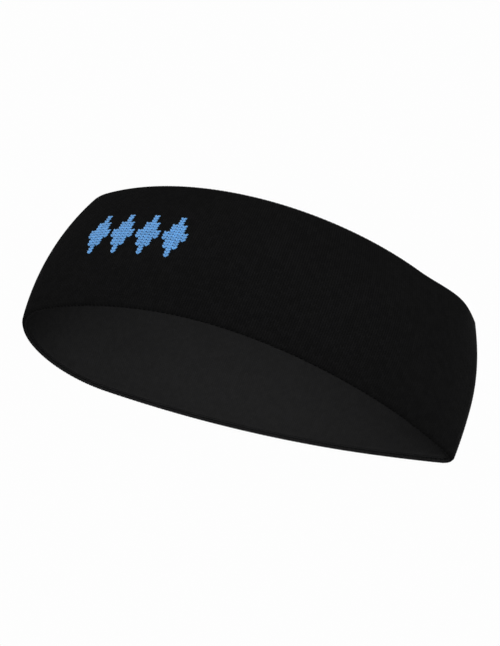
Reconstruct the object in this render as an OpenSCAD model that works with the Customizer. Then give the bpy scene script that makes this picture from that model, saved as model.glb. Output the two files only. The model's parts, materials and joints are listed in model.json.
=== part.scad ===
// Knitted sports headband: a double-layer elastic loop that lies open as a lens-shaped ring.
// +Z is the axis of the loop as it is worn. The lower edge lies on z = 0, centred on the origin.
// The loop's long axis runs along X: its creased end is at +X, and its front wall faces -Y.

/* [Loop] */
// Half of the loop's length along X, at its widest height
loop_half_length = 95; // [92:1:100]
// How far the front wall bulges from the long axis
front_bulge = 55.1; // [50:0.1:60]
// How far the back wall bulges from the long axis
back_bulge = 38.9; // [38.5:0.1:44]
// Radius of the round, open end of the loop
open_end_radius = 38; // [30:1:38]
// Radius of the creased end of the loop
creased_end_radius = 9.5; // [9.5:0.5:14]

/* [Wall] */
// Height of the band
band_height = 64; // [56:1:66]
// Radius of the wall's outward bow, seen in section
bow_radius = 124; // [120:1:200]
// Height at which the wall bows out furthest
bow_height = 26; // [22:1:32]
// Thickness of the whole double wall
wall_thickness = 2.4; // [2.2:0.1:2.6]
// Thickness of the knitted face
face_thickness = 0.9; // [0.7:0.1:0.9]
// Thickness of the knitted lining
lining_thickness = 0.8; // [0.6:0.1:0.8]

/* [Turned edges] */
// Height of the turned edge that shows inside the loop
turned_height = 1.4; // [1.3:0.1:2]
// Width of the flat that each turned edge rests on
edge_flat = 0.9; // [0.6:0.1:1.2]
// Diameter of the thread that links the lining to the turned edge
seam_thread_diameter = 0.5; // [0.3:0.1:0.6]
// Width of each elastic tape
elastic_width = 5; // [3:0.5:8]
// Distance from a band edge to its elastic tape
elastic_inset = 3; // [2.5:0.5:6]

/* [Motif] */
// Number of diamonds in the knitted motif
motif_count = 4; // [4]
// Width of one diamond
motif_width = 10; // [6:0.5:11]
// Height of one diamond
motif_height = 20; // [8:0.5:22]
// Distance between the centres of two diamonds, along the wall
motif_pitch = 12; // [11.2:0.1:13]
// Height of the motif's centre line
motif_centre_height = 33; // [28:1:40]
// Where the middle of the row faces, as an angle on the front wall
motif_angle = -110.6; // [-112:0.2:-70]
// How far the motif yarn stands out of the face
motif_relief = 0.3; // [0.2:0.1:0.4]

/* [Care label] */
// Width of the label
label_width = 16; // [12:1:20]
// Length of the free flap
flap_length = 20; // [14:1:24]
// Thickness of the label
label_thickness = 0.5; // [0.4:0.1:0.6]
// Height of the fold that the flap swings on
fold_height = 56; // [48:1:57]
// Length of the sewn tab above the fold
tab_length = 4; // [3:0.5:4.5]
// Where the label sits, as an angle on the back wall
label_angle = 69; // [67:1:90]

/* [Hidden] */
$fn = 180;

face_black = [0.06, 0.06, 0.065];
lining_charcoal = [0.12, 0.12, 0.12];
elastic_white = [0.85, 0.85, 0.82];
motif_blue = [0.34, 0.55, 0.79];
label_satin = [0.88, 0.88, 0.86];

wall_steps = 8;
edge_steps = 4;
layer_gap = 0.1;
fold_clearance = 0.3;

// ---- Plan of the loop: two long arcs joined by two end arcs, all tangent ----

open_end_x = -loop_half_length + open_end_radius;
creased_end_x = loop_half_length - creased_end_radius;

// A long arc that reaches `bulge` from the long axis is tangent inside to both end circles.
// Its centre lies at x, where both tangencies ask for the same radius.
function crown_x(bulge) =
    let (
        a = bulge - open_end_radius,
        b = bulge - creased_end_radius,
        p = open_end_x,
        q = creased_end_x,
        square = b - a,
        linear = 2 * (q * a - p * b),
        rest = p * p * b - q * q * a
            + (bulge * bulge - open_end_radius * open_end_radius) * b
            - (bulge * bulge - creased_end_radius * creased_end_radius) * a
    )
    (sqrt(linear * linear - 4 * square * rest) - linear) / (2 * square);

function wall_radius(bulge) =
    (pow(open_end_x - crown_x(bulge), 2) + bulge * bulge - open_end_radius * open_end_radius)
    / (2 * (bulge - open_end_radius));

// The long axis is moved off the X axis, so that the whole loop is centred on the origin.
axis_y = (front_bulge - back_bulge) / 2;
front_radius = wall_radius(front_bulge);
front_centre = [crown_x(front_bulge), axis_y + front_radius - front_bulge];
back_radius = wall_radius(back_bulge);
back_centre = [crown_x(back_bulge), axis_y + back_bulge - back_radius];
open_end = [open_end_x, axis_y];
creased_end = [creased_end_x, axis_y];

// Sweeps a section along a short arc. The section's x = 0 is the loop's outline.
module along_arc(centre, radius, start, end) {
    translate([centre[0], centre[1], 0])
    rotate_extrude(start = start, angle = end - start)
    translate([radius, 0])
    children();
}

// Sweeps a section right round and keeps what lies between two directions.
// Two neighbouring arcs meet on the line through both centres, where they are tangent.
module arc_between(centre, radius, first, second) {
    reach = 3;
    intersection() {
        translate([centre[0], centre[1], 0])
        rotate_extrude()
        translate([radius, 0])
        children();
        linear_extrude(band_height)
        polygon([centre, centre + reach * first, centre + reach * second]);
    }
}

module around_loop() {
    arc_between(front_centre, front_radius, open_end - front_centre, creased_end - front_centre)
    children();
    arc_between(creased_end, creased_end_radius, creased_end - front_centre, creased_end - back_centre)
    children();
    arc_between(back_centre, back_radius, creased_end - back_centre, open_end - back_centre)
    children();
    arc_between(open_end, open_end_radius, open_end - back_centre, open_end - front_centre)
    children();
}

// ---- Section of the wall: drawn straight as [depth, height], then bowed ----

// How far the outer face lies inside its widest line at height z
function bow(z) = bow_radius - sqrt(bow_radius * bow_radius - pow(z - bow_height, 2));

function bowed(points) = [for (p = points) [-bow(p[1]) - p[0], p[1]]];

function line_up(depth, low, high) =
    [for (i = [0:wall_steps]) [depth, low + (high - low) * i / wall_steps]];

function reversed(list) = [for (i = [len(list) - 1:-1:0]) list[i]];

// A layer of the wall between two depths and two heights
module layer(near_depth, far_depth, low, high) {
    polygon(bowed(concat(
        line_up(near_depth, low, high),
        reversed(line_up(far_depth, low, high))
    )));
}

fold_radius = wall_thickness / 2;
fold_inner_radius = fold_radius - face_thickness;
flat_angle = acos(edge_flat / 2 / fold_radius);
fold_centre_height = fold_radius * sin(flat_angle);

// Part of a ring over the top edge: the face is at 180 degrees and the lining side at 0
function fold_arc(radius, from, to) =
    [for (i = [0:edge_steps])
        let (a = from + (to - from) * i / edge_steps)
        [fold_radius + radius * cos(a), band_height - fold_centre_height + radius * sin(a)]];

function lowered(points) = [for (p = points) [p[0], band_height - p[1]]];

return_depth = wall_thickness - face_thickness;
upper_turn = concat(
    fold_arc(fold_radius, 180, 180 - flat_angle),
    fold_arc(fold_radius, flat_angle, 0),
    [[wall_thickness, band_height - turned_height], [return_depth, band_height - turned_height]],
    fold_arc(fold_inner_radius, 0, 180)
);

module face_section() {
    polygon(bowed(concat(
        line_up(0, fold_centre_height, band_height - fold_centre_height),
        upper_turn,
        reversed(line_up(face_thickness, fold_centre_height, band_height - fold_centre_height)),
        reversed(lowered(upper_turn))
    )));
}

// ---- Knitted layers ----

module outer_shell() {
    color(face_black)
    around_loop()
    face_section();
}

seam_space = seam_thread_diameter + layer_gap;
lining_start = turned_height + seam_space;

module inner_lining() {
    color(lining_charcoal)
    around_loop()
    layer(wall_thickness - lining_thickness, wall_thickness,
        lining_start, band_height - lining_start);
}

// ---- Elastic tapes, held between the face and the lining ----

module elastic(low) {
    color(elastic_white)
    around_loop()
    layer(face_thickness + layer_gap, wall_thickness - lining_thickness - layer_gap,
        low, low + elastic_width);
}

module upper_elastic() {
    elastic(band_height - elastic_inset - elastic_width);
}

module lower_elastic() {
    elastic(elastic_inset);
}

// ---- Threads that link the lining to the turned edges ----

module seam_thread(height) {
    color(lining_charcoal)
    around_loop()
    translate([-bow(height) - wall_thickness + seam_thread_diameter / 2, height])
    circle(d = seam_thread_diameter, $fn = 24);
}

module upper_seam_thread() {
    seam_thread(band_height - turned_height - seam_space / 2);
}

module lower_seam_thread() {
    seam_thread(turned_height + seam_space / 2);
}

// ---- Motif: a row of diamonds knitted into the front wall ----

motif_step = motif_pitch / front_radius * 180 / PI;
cutter_depth = 8;

module motif_diamond(number) {
    angle = motif_angle + (number - (motif_count + 1) / 2) * motif_step;
    low = motif_centre_height - motif_height / 2 - 1;
    color(motif_blue)
    intersection() {
        along_arc(front_centre, front_radius, angle - motif_step / 2, angle + motif_step / 2)
        layer(-motif_relief, motif_relief, low, low + motif_height + 2);
        translate([front_centre[0], front_centre[1], motif_centre_height])
        rotate([0, 0, angle])
        translate([front_radius - cutter_depth / 2, 0, 0])
        rotate([90, 0, 90])
        linear_extrude(cutter_depth)
        polygon([
            [motif_width / 2, 0], [0, motif_height / 2],
            [-motif_width / 2, 0], [0, -motif_height / 2]
        ]);
    }
}

// ---- Care label, sewn by its top tab inside the back wall ----

lined_radius = back_radius - wall_thickness;
label_half_angle = asin(label_width / 2 / lined_radius);
tab_low = fold_height + fold_clearance + label_thickness / 2;

module on_label_arc(half_angle) {
    along_arc(back_centre, back_radius, label_angle - half_angle, label_angle + half_angle)
    children();
}

module label_tab() {
    near_depth = wall_thickness + layer_gap;
    color(label_satin)
    on_label_arc(label_half_angle)
    layer(near_depth, near_depth + label_thickness, tab_low, tab_low + tab_length);
}

stitch_count = 6;
stitch_height = 0.6;

module label_stitches() {
    stitch_pitch = 2 * label_half_angle / stitch_count;
    near_depth = wall_thickness + layer_gap + label_thickness / 2;
    low = tab_low + tab_length / 2;
    color(lining_charcoal)
    for (i = [0:stitch_count - 1]) {
        middle = label_angle - label_half_angle + (i + 0.5) * stitch_pitch;
        along_arc(back_centre, back_radius, middle - stitch_pitch / 3, middle + stitch_pitch / 3)
        layer(near_depth, near_depth + label_thickness, low, low + stitch_height);
    }
}

// The flap is flat, so its sides come closer to the curved wall than its middle does.
flap_sag = lined_radius - sqrt(lined_radius * lined_radius - label_width * label_width / 4);
fold_radial = lined_radius - bow(fold_height) - fold_clearance - flap_sag - label_thickness / 2;

module label_flap() {
    color(label_satin)
    translate([back_centre[0], back_centre[1], fold_height - flap_length])
    rotate([0, 0, label_angle])
    translate([fold_radial - label_thickness / 2, -label_width / 2, 0])
    cube([label_thickness, label_width, flap_length]);
}

outer_shell();
inner_lining();
upper_elastic();
lower_elastic();
upper_seam_thread();
lower_seam_thread();
motif_diamond(1);  // motif_diamond_1
motif_diamond(2);  // motif_diamond_2
motif_diamond(3);  // motif_diamond_3
motif_diamond(4);  // motif_diamond_4
label_tab();
label_stitches();
label_flap();
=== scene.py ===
"""A knitted sports headband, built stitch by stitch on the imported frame.

The band is one loop of four tangent arcs. Each knitted layer is a grid of stitches on a section path that
is swept round that loop, so the face, the turned edges, the lining and the motif share one gauge.
"""

import json
import logging
import math
from dataclasses import dataclass, field
from enum import Enum
from typing import Any, Iterable, Sequence

import bpy
import numpy as np
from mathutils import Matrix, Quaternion, Vector


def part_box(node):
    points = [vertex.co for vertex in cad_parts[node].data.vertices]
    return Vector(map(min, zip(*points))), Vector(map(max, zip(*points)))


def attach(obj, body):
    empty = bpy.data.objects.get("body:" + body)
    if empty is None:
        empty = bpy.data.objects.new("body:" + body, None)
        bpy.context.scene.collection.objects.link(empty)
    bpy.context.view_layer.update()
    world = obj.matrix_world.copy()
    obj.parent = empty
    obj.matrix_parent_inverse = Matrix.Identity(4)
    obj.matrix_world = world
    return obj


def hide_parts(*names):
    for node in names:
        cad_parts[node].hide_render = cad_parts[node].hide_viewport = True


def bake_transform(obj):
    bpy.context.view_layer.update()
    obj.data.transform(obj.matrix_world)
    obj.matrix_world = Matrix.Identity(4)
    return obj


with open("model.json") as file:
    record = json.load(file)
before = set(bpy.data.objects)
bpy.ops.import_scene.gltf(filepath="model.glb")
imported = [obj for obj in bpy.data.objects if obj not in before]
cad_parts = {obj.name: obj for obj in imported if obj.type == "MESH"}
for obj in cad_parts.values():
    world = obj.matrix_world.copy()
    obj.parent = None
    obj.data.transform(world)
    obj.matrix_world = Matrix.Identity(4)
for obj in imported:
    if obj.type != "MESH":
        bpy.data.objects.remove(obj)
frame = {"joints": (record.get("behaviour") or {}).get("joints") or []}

log = logging.getLogger("headband")

MM = 0.001
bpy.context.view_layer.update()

Pair = tuple[float, float]
Colour = tuple[float, float, float]


class Body(str, Enum):
    """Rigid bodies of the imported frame."""

    BAND = "band"
    LABEL = "label"


class Slot(str, Enum):
    """Material slots of the record."""

    FACE = "face_knit"
    LINING = "lining_knit"
    ELASTIC = "elastic_tape"
    THREAD = "seam_thread"
    MOTIF = "motif_yarn"
    LABEL = "label_satin"


class Held(str, Enum):
    """How a sheet of cloth is held."""

    HUNG = "hung"
    STRETCHED = "stretched"


class Edge(Enum):
    """The two turned edges of the band."""

    LOWER = "Lower"
    UPPER = "Upper"


# ---- Sizes -------------------------------------------------------------------------------------------


@dataclass(frozen=True)
class BandSizes:
    """Driving sizes of the band, in metres."""

    half_length: float
    depth: float
    height: float
    axis_y: float = 8.1 * MM
    open_end_radius: float = 38 * MM
    creased_end_radius: float = 9.5 * MM
    bow_radius: float = 124 * MM
    bow_height: float = 26 * MM
    wall: float = 2.4 * MM
    face: float = 0.9 * MM
    lining: float = 0.8 * MM
    turned_height: float = 1.4 * MM
    seam_space: float = 0.6 * MM

    @classmethod
    def from_frame(cls) -> "BandSizes":
        """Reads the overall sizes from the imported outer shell.

        Returns:
            The sizes, with the loop's length, depth and height as packed.
        """
        low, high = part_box("outer_shell")
        return cls(half_length=(high.x - low.x) / 2, depth=high.y - low.y, height=high.z - low.z)

    def bow(self, z: np.ndarray) -> np.ndarray:
        """How far the outer face lies inside its widest line, at heights above the lower edge."""
        return self.bow_radius - np.sqrt(self.bow_radius**2 - (z - self.bow_height) ** 2)


@dataclass(frozen=True)
class KnitGauge:
    """Stitch sizes of the knit, and how finely its relief is meshed."""

    wale_pitch: float = 2.005 * MM
    course_pitch: float = 1.355 * MM
    columns_per_wale: int = 4
    rows_per_course: int = 2


@dataclass(frozen=True)
class Relief:
    """How one knitted surface stands up.

    The crest is the height of a leg of the V, the slant is how many courses each leg climbs, and the
    valleys are the shares of the crest that are left between wales, between legs and between courses.
    """

    crest: float
    slant: float
    wale_valley: float
    leg_valley: float
    course_valley: float
    sunk_share: float = 0.8


@dataclass(frozen=True)
class Slump:
    """How far the resting cloth strays outward from its drawn shape.

    The front wall's lower edge flares a little, its upper edge stands out before the creased end, and the
    creased end leans in at its top and out at its foot. Each has its place along the loop and its reach.
    """

    flare: float = 2.2 * MM
    flare_place: float = 76 * MM
    flare_reach: float = 75 * MM
    shoulder: float = 3.3 * MM
    shoulder_before_crease: float = 24 * MM
    shoulder_reach: float = 24 * MM
    lean: float = 1.2 * MM
    lean_reach: float = 32 * MM
    still_height: float = 24 * MM

    def shift(self, along: np.ndarray, crease: float, share: np.ndarray) -> tuple[np.ndarray, np.ndarray]:
        """The shifts of places on the band.

        Args:
            along: Distances along the loop.
            crease: The middle of the creased end along the loop.
            share: Heights from the still line: -1 at the lower edge and 1 at the upper edge.

        Returns:
            The shifts outward from the wall, and those along the long axis.
        """
        low, high = np.clip(-share, 0.0, 1.0) ** 2, np.clip(share, 0.0, 1.0) ** 2
        flare = self.flare * smoothstep(1 - np.abs(along - self.flare_place) / self.flare_reach)
        before = crease - self.shoulder_before_crease
        shoulder = self.shoulder * smoothstep(1 - np.abs(along - before) / self.shoulder_reach)
        lean = self.lean * smoothstep(1 - np.abs(along - crease) / self.lean_reach)
        return low * flare + high * shoulder, (low - high) * lean


# ---- The loop ----------------------------------------------------------------------------------------


def smoothstep(value: np.ndarray) -> np.ndarray:
    """Values held between 0 and 1, and eased at both ends."""
    value = np.clip(value, 0.0, 1.0)
    return value * value * (3 - 2 * value)


@dataclass(frozen=True)
class Arc:
    """One arc of the loop, run anticlockwise from its start angle."""

    centre: Pair
    radius: float
    start: float
    sweep: float

    @property
    def length(self) -> float:
        """Length along the arc."""
        return self.radius * self.sweep


class Loop:
    """The band's outline in plan: front wall, creased end, back wall and open end, all tangent."""

    def __init__(self, sizes: BandSizes, slump: Slump) -> None:
        """Finds the four arcs.

        Args:
            sizes: Driving sizes of the band.
            slump: How far the resting cloth strays from them.
        """
        self.sizes, self.slump = sizes, slump
        open_end = (-sizes.half_length + sizes.open_end_radius, sizes.axis_y)
        creased_end = (sizes.half_length - sizes.creased_end_radius, sizes.axis_y)
        self.front = self._wall(-1, open_end, creased_end)
        self.back = self._wall(1, creased_end, open_end)
        crease = self._end(creased_end, sizes.creased_end_radius, self.front, self.back)
        opening = self._end(open_end, sizes.open_end_radius, self.back, self.front)
        arcs = (self.front, crease, self.back, opening)
        self.length = sum(arc.length for arc in arcs)
        self._centres = np.array([arc.centre for arc in arcs])
        self._radii = np.array([arc.radius for arc in arcs])
        self._sweeps = np.array([arc.sweep for arc in arcs])
        self._starts = np.array([arc.start for arc in arcs])
        self._stops = np.cumsum([arc.length for arc in arcs])
        self._begins = self._stops - np.array([arc.length for arc in arcs])
        self.crease = self.front.length + crease.length / 2

    def _wall(self, side: int, first: Pair, second: Pair) -> Arc:
        """A long arc that reaches its bulge and is tangent inside to both end circles.

        Args:
            side: -1 for the front wall, 1 for the back wall.
            first: Centre of the end circle where the arc starts.
            second: Centre of the end circle where the arc stops.

        Returns:
            The arc.
        """
        s = self.sizes
        bulge = s.depth / 2 - side * s.axis_y
        a, b = bulge - s.open_end_radius, bulge - s.creased_end_radius
        p, q = -s.half_length + s.open_end_radius, s.half_length - s.creased_end_radius
        square, linear = b - a, 2 * (q * a - p * b)
        rest = p * p * b - q * q * a
        rest += (bulge**2 - s.open_end_radius**2) * b - (bulge**2 - s.creased_end_radius**2) * a
        x = (math.sqrt(linear**2 - 4 * square * rest) - linear) / (2 * square)
        radius = ((p - x) ** 2 + bulge**2 - s.open_end_radius**2) / (2 * a)
        centre = (x, s.axis_y + side * (bulge - radius))
        start, end = (math.atan2(c[1] - centre[1], c[0] - centre[0]) for c in (first, second))
        return Arc(centre, radius, start, (end - start) % math.tau)

    @staticmethod
    def _end(centre: Pair, radius: float, before: Arc, after: Arc) -> Arc:
        """The end arc round a centre, from the wall that runs into it to the wall that leaves it."""
        start = before.start + before.sweep
        return Arc(centre, radius, start, (after.start - start) % math.tau)

    def at(self, along: np.ndarray) -> tuple[np.ndarray, np.ndarray]:
        """Places on the loop.

        Args:
            along: Distances along the loop from the start of the front wall.

        Returns:
            Points of the outline and its outward normals, both in plan.
        """
        along = np.mod(along, self.length)
        i = np.minimum(np.searchsorted(self._stops, along, side="right"), len(self._radii) - 1)
        angle = self._starts[i] + (along - self._begins[i]) / self._radii[i]
        normal = np.stack([np.cos(angle), np.sin(angle)], axis=-1)
        return self._centres[i] + self._radii[i][..., None] * normal, normal

    def spread(self, cloth: np.ndarray, out: Any) -> np.ndarray:
        """Where cloth lies on the outline, so that its stitches are equally wide all round at each height.

        Args:
            cloth: Distances along the cloth, which is pinned to the outline at the creased end's middle.
            out: Offsets outward from the outline.

        Returns:
            Distances along the outline.
        """
        out = np.broadcast_to(out, cloth.shape)
        lengths = (self._radii + out[..., None]) * self._sweeps
        stops = np.cumsum(lengths, axis=-1)
        whole = stops[..., -1]
        middle = lengths[..., 0] + lengths[..., 1] / 2
        run = np.mod(middle + (cloth - self.crease) * whole / self.length, whole)
        i = np.minimum((run[..., None] >= stops).sum(axis=-1), len(self._radii) - 1)
        begin = np.take_along_axis(stops - lengths, i[..., None], axis=-1)[..., 0]
        return self._begins[i] + (run - begin) * self._radii[i] / (self._radii[i] + out)

    def sideways(self, cloth: np.ndarray, out: Any) -> np.ndarray:
        """The outline's outward normals at places on the cloth, in plan."""
        return self.at(self.spread(cloth, out))[1]

    def place(self, cloth: np.ndarray, out: Any, height: Any) -> np.ndarray:
        """Points in space.

        Args:
            cloth: Distances along the cloth.
            out: Offsets outward from the outline.
            height: Heights above the lower edge.

        Returns:
            Points, as an array that ends in 3.
        """
        out, height = np.broadcast_arrays(out, height, cloth)[:2]
        along = self.spread(cloth, out)
        outline, sideways = self.at(along)
        still = self.slump.still_height
        share = np.where(height < still, height / still - 1, (height - still) / (self.sizes.height - still))
        outward, lengthwise = self.slump.shift(along, self.crease, share)
        plan = outline + sideways * (out + outward)[..., None]
        return np.stack([plan[..., 0] + lengthwise, plan[..., 1], height], axis=-1)


class SectionPath:
    """A line in the wall's section. The layer's visible side lies on the right of its run."""

    def __init__(self, points: Sequence[Pair], sizes: BandSizes) -> None:
        """Bows the line and measures it.

        Args:
            points: Places as (depth inside the outer face, height), close together.
            sizes: Driving sizes of the band.
        """
        depth, self.height = np.array(points).T
        self.out = -sizes.bow(self.height) - depth
        steps = np.hypot(np.diff(self.out), np.diff(self.height))
        self.distance = np.concatenate([[0.0], np.cumsum(steps)])
        self.length = float(self.distance[-1])
        run_out, run_up = (np.gradient(way, self.distance) for way in (self.out, self.height))
        size = np.hypot(run_out, run_up)
        self.normal_out, self.normal_up = run_up / size, -run_out / size

    def at(self, distance: np.ndarray) -> tuple[np.ndarray, ...]:
        """Outward offset, height, and the visible side's normal as (outward, up), along the path."""
        values = (self.out, self.height, self.normal_out, self.normal_up)
        return tuple(np.interp(distance, self.distance, value) for value in values)


class WallSection:
    """Lines of the band's section, as (depth inside the outer face, height) in metres."""

    wall_points = 60
    fold_points = 24
    tuck = ((0.02 * MM, 0.1 * MM), (0.25 * MM, 0.0), (0.8 * MM, 0.0))
    seam_lip = ((0.0, 0.45 * MM), (0.07 * MM, 0.18 * MM), (0.25 * MM, 0.03 * MM), (0.5 * MM, 0.0))
    inner_fold_points = 3
    inner_wall_points = 5
    hidden_points = 8
    hidden_margin = 0.1 * MM

    def __init__(self, sizes: BandSizes) -> None:
        """Keeps the sizes."""
        self.sizes = sizes

    def _mirrored(self, points: Sequence[Pair]) -> list[Pair]:
        """The same points at the lower edge, in the other order."""
        return [(depth, self.sizes.height - z) for depth, z in reversed(points)]

    def _fold(self, radius: float, first: float, last: float, count: int) -> list[Pair]:
        """Part of a circle over the upper turned edge.

        Args:
            radius: Its radius.
            first: Start angle: pi is on the face and 0 is on the lining's side.
            last: End angle.
            count: How many points.

        Returns:
            The points.
        """
        middle = self.sizes.wall / 2
        top = self.sizes.height - middle
        turn = np.linspace(first, last, count)
        return [(middle + radius * math.cos(a), top + radius * math.sin(a)) for a in turn]

    def face_outside(self) -> list[Pair]:
        """The visible side of the face, from the lower tucked end, up the wall, to the upper one."""
        s = self.sizes
        middle = s.wall / 2
        upper = self._fold(middle, math.pi, 0.0, self.fold_points)
        upper += [(s.wall - inside, s.height - s.turned_height + above) for inside, above in self.tuck]
        wall = [(0.0, z) for z in np.linspace(middle, s.height - middle, self.wall_points)[1:-1]]
        return [*self._mirrored(upper), *wall, *upper]

    def face_inside(self) -> list[Pair]:
        """The hidden side of the face, from the upper tucked end down to the lower one."""
        s = self.sizes
        upper = self._fold(s.wall / 2 - s.face, 0.0, math.pi, self.inner_fold_points)
        lower = self._mirrored(upper)
        wall = [(s.face, z) for z in np.linspace(upper[-1][1], lower[0][1], self.inner_wall_points)[1:-1]]
        return [*upper, *wall, *lower]

    def lining_outside(self) -> list[Pair]:
        """The visible side of the lining, from the upper seam down to the lower one."""
        s = self.sizes
        low = s.turned_height + s.seam_space
        lower = [(s.wall - inside, low + above) for inside, above in self.seam_lip]
        upper = self._mirrored(lower)
        wall = [(s.wall, z) for z in np.linspace(upper[-1][1], lower[0][1], self.wall_points)[1:-1]]
        return [*upper, *wall, *lower]

    def lining_inside(self) -> list[Pair]:
        """The hidden side of the lining, from the lower seam up to the upper one."""
        s = self.sizes
        low = s.turned_height + s.seam_space + self.hidden_margin
        return [(s.wall - s.lining, z) for z in np.linspace(low, s.height - low, self.hidden_points)]

    def tape(self, low: float, high: float, near: float, far: float, ribs: int, rise: float) -> list[Pair]:
        """A closed, ribbed tape section, up its outside and down its inside.

        Args:
            low: Height of its lower edge.
            high: Height of its upper edge.
            near: Depth of its outer side between the ribs.
            far: Depth of its inner side between the ribs.
            ribs: How many rubber cores run along it.
            rise: How far each rib stands up.

        Returns:
            The points.
        """
        share = np.linspace(0.0, 1.0, 2 * ribs + 1)
        swell = rise * (np.arange(2 * ribs + 1) % 2)
        height = low + share * (high - low)
        outer = list(zip(near - swell, height))
        inner = list(zip(far + swell, height))
        return [*outer, *reversed(inner)]


# ---- Meshes ------------------------------------------------------------------------------------------


def new_object(name: str, mesh: bpy.types.Mesh) -> bpy.types.Object:
    """Puts a mesh into the scene.

    Args:
        name: Name of the object.
        mesh: Its mesh.

    Returns:
        The object, at the origin.
    """
    mesh.name = name
    made = bpy.data.objects.new(name, mesh)
    bpy.context.scene.collection.objects.link(made)
    return made


def plain_mesh(source: bpy.types.Object, name: str) -> bpy.types.Object:
    """Turns an object with modifiers into a plain mesh, and removes the object.

    Args:
        source: The object with its modifiers.
        name: Name of the result.

    Returns:
        The new object, at the origin.
    """
    bpy.context.view_layer.update()
    evaluated = source.evaluated_get(bpy.context.evaluated_depsgraph_get())
    mesh = bpy.data.meshes.new_from_object(evaluated)
    bpy.data.objects.remove(source)
    return new_object(name, mesh)


def mesh_of(points: np.ndarray, sizes: np.ndarray, corners: np.ndarray, uv_name: str,
            uv: np.ndarray) -> bpy.types.Mesh:
    """Makes a smooth mesh from flat arrays.

    Args:
        points: Vertices.
        sizes: How many corners each face has.
        corners: Vertex number of every corner, face after face.
        uv_name: Name of the UV map.
        uv: UV of every corner.

    Returns:
        The mesh.
    """
    mesh = bpy.data.meshes.new(uv_name)
    mesh.vertices.add(len(points))
    mesh.vertices.foreach_set("co", points.reshape(-1).astype(np.float32))
    mesh.loops.add(len(corners))
    mesh.loops.foreach_set("vertex_index", corners.astype(np.int32))
    mesh.polygons.add(len(sizes))
    starts = np.concatenate([[0], np.cumsum(sizes)[:-1]])
    mesh.polygons.foreach_set("loop_start", starts.astype(np.int32))
    mesh.polygons.foreach_set("use_smooth", np.ones(len(sizes), bool))
    layer = mesh.uv_layers.new(name=uv_name)
    layer.uv.foreach_set("vector", uv.reshape(-1).astype(np.float32))
    mesh.update(calc_edges=True)
    mesh.validate()
    return mesh


class RingSkin:
    """A closed skin over rings of points that run round the band.

    A ring may have a whole number of times as many points as the next one.
    """

    def __init__(self, uv_name: str, turn: float) -> None:
        """Starts with no rings.

        Args:
            uv_name: Name of the UV map.
            turn: How much U grows once round the band.
        """
        self.uv_name, self.turn = uv_name, turn
        self.rings: list[np.ndarray] = []
        self.marks: list[float] = []

    def add(self, ring: np.ndarray, mark: float) -> None:
        """Adds a ring with its V value."""
        self.rings.append(ring)
        self.marks.append(mark)

    def _strip(self, first: int, second: int, marks: Pair) -> tuple[np.ndarray, np.ndarray, np.ndarray]:
        """Faces between two rings.

        Args:
            first: Number of the first ring.
            second: Number of the second ring.
            marks: V of both rings.

        Returns:
            Corner counts, vertex numbers and UVs.
        """
        counts = len(self.rings[first]), len(self.rings[second])
        starts = [sum(len(ring) for ring in self.rings[:number]) for number in (first, second)]
        cells = min(counts)
        cell = np.arange(cells)[:, None]
        corners, uvs = [], []
        for side, (count, start) in enumerate(zip(counts, starts)):
            step = count // cells
            column = cell * step + np.arange(step + 1)[:: -1 if side else 1]
            corners.append(start + column % count)
            uvs.append(np.stack([column / count * self.turn, np.full(column.shape, marks[side])], axis=-1))
        corner = np.concatenate(corners, axis=1)
        sizes = np.full(cells, corner.shape[1])
        return sizes, corner.reshape(-1), np.concatenate(uvs, axis=1).reshape(-1, 2)

    def build(self, name: str) -> bpy.types.Object:
        """Makes the object. The last ring joins the first.

        Args:
            name: Name of the object.

        Returns:
            The object.
        """
        last = len(self.rings) - 1
        closing = self.marks[-1] + (self.marks[-1] - self.marks[-2])
        strips = [self._strip(i, i + 1, (self.marks[i], self.marks[i + 1])) for i in range(last)]
        strips.append(self._strip(last, 0, (self.marks[-1], closing)))
        sizes, corners, uv = (np.concatenate(parts) for parts in zip(*strips))
        return new_object(name, mesh_of(np.concatenate(self.rings), sizes, corners, self.uv_name, uv))


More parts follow.
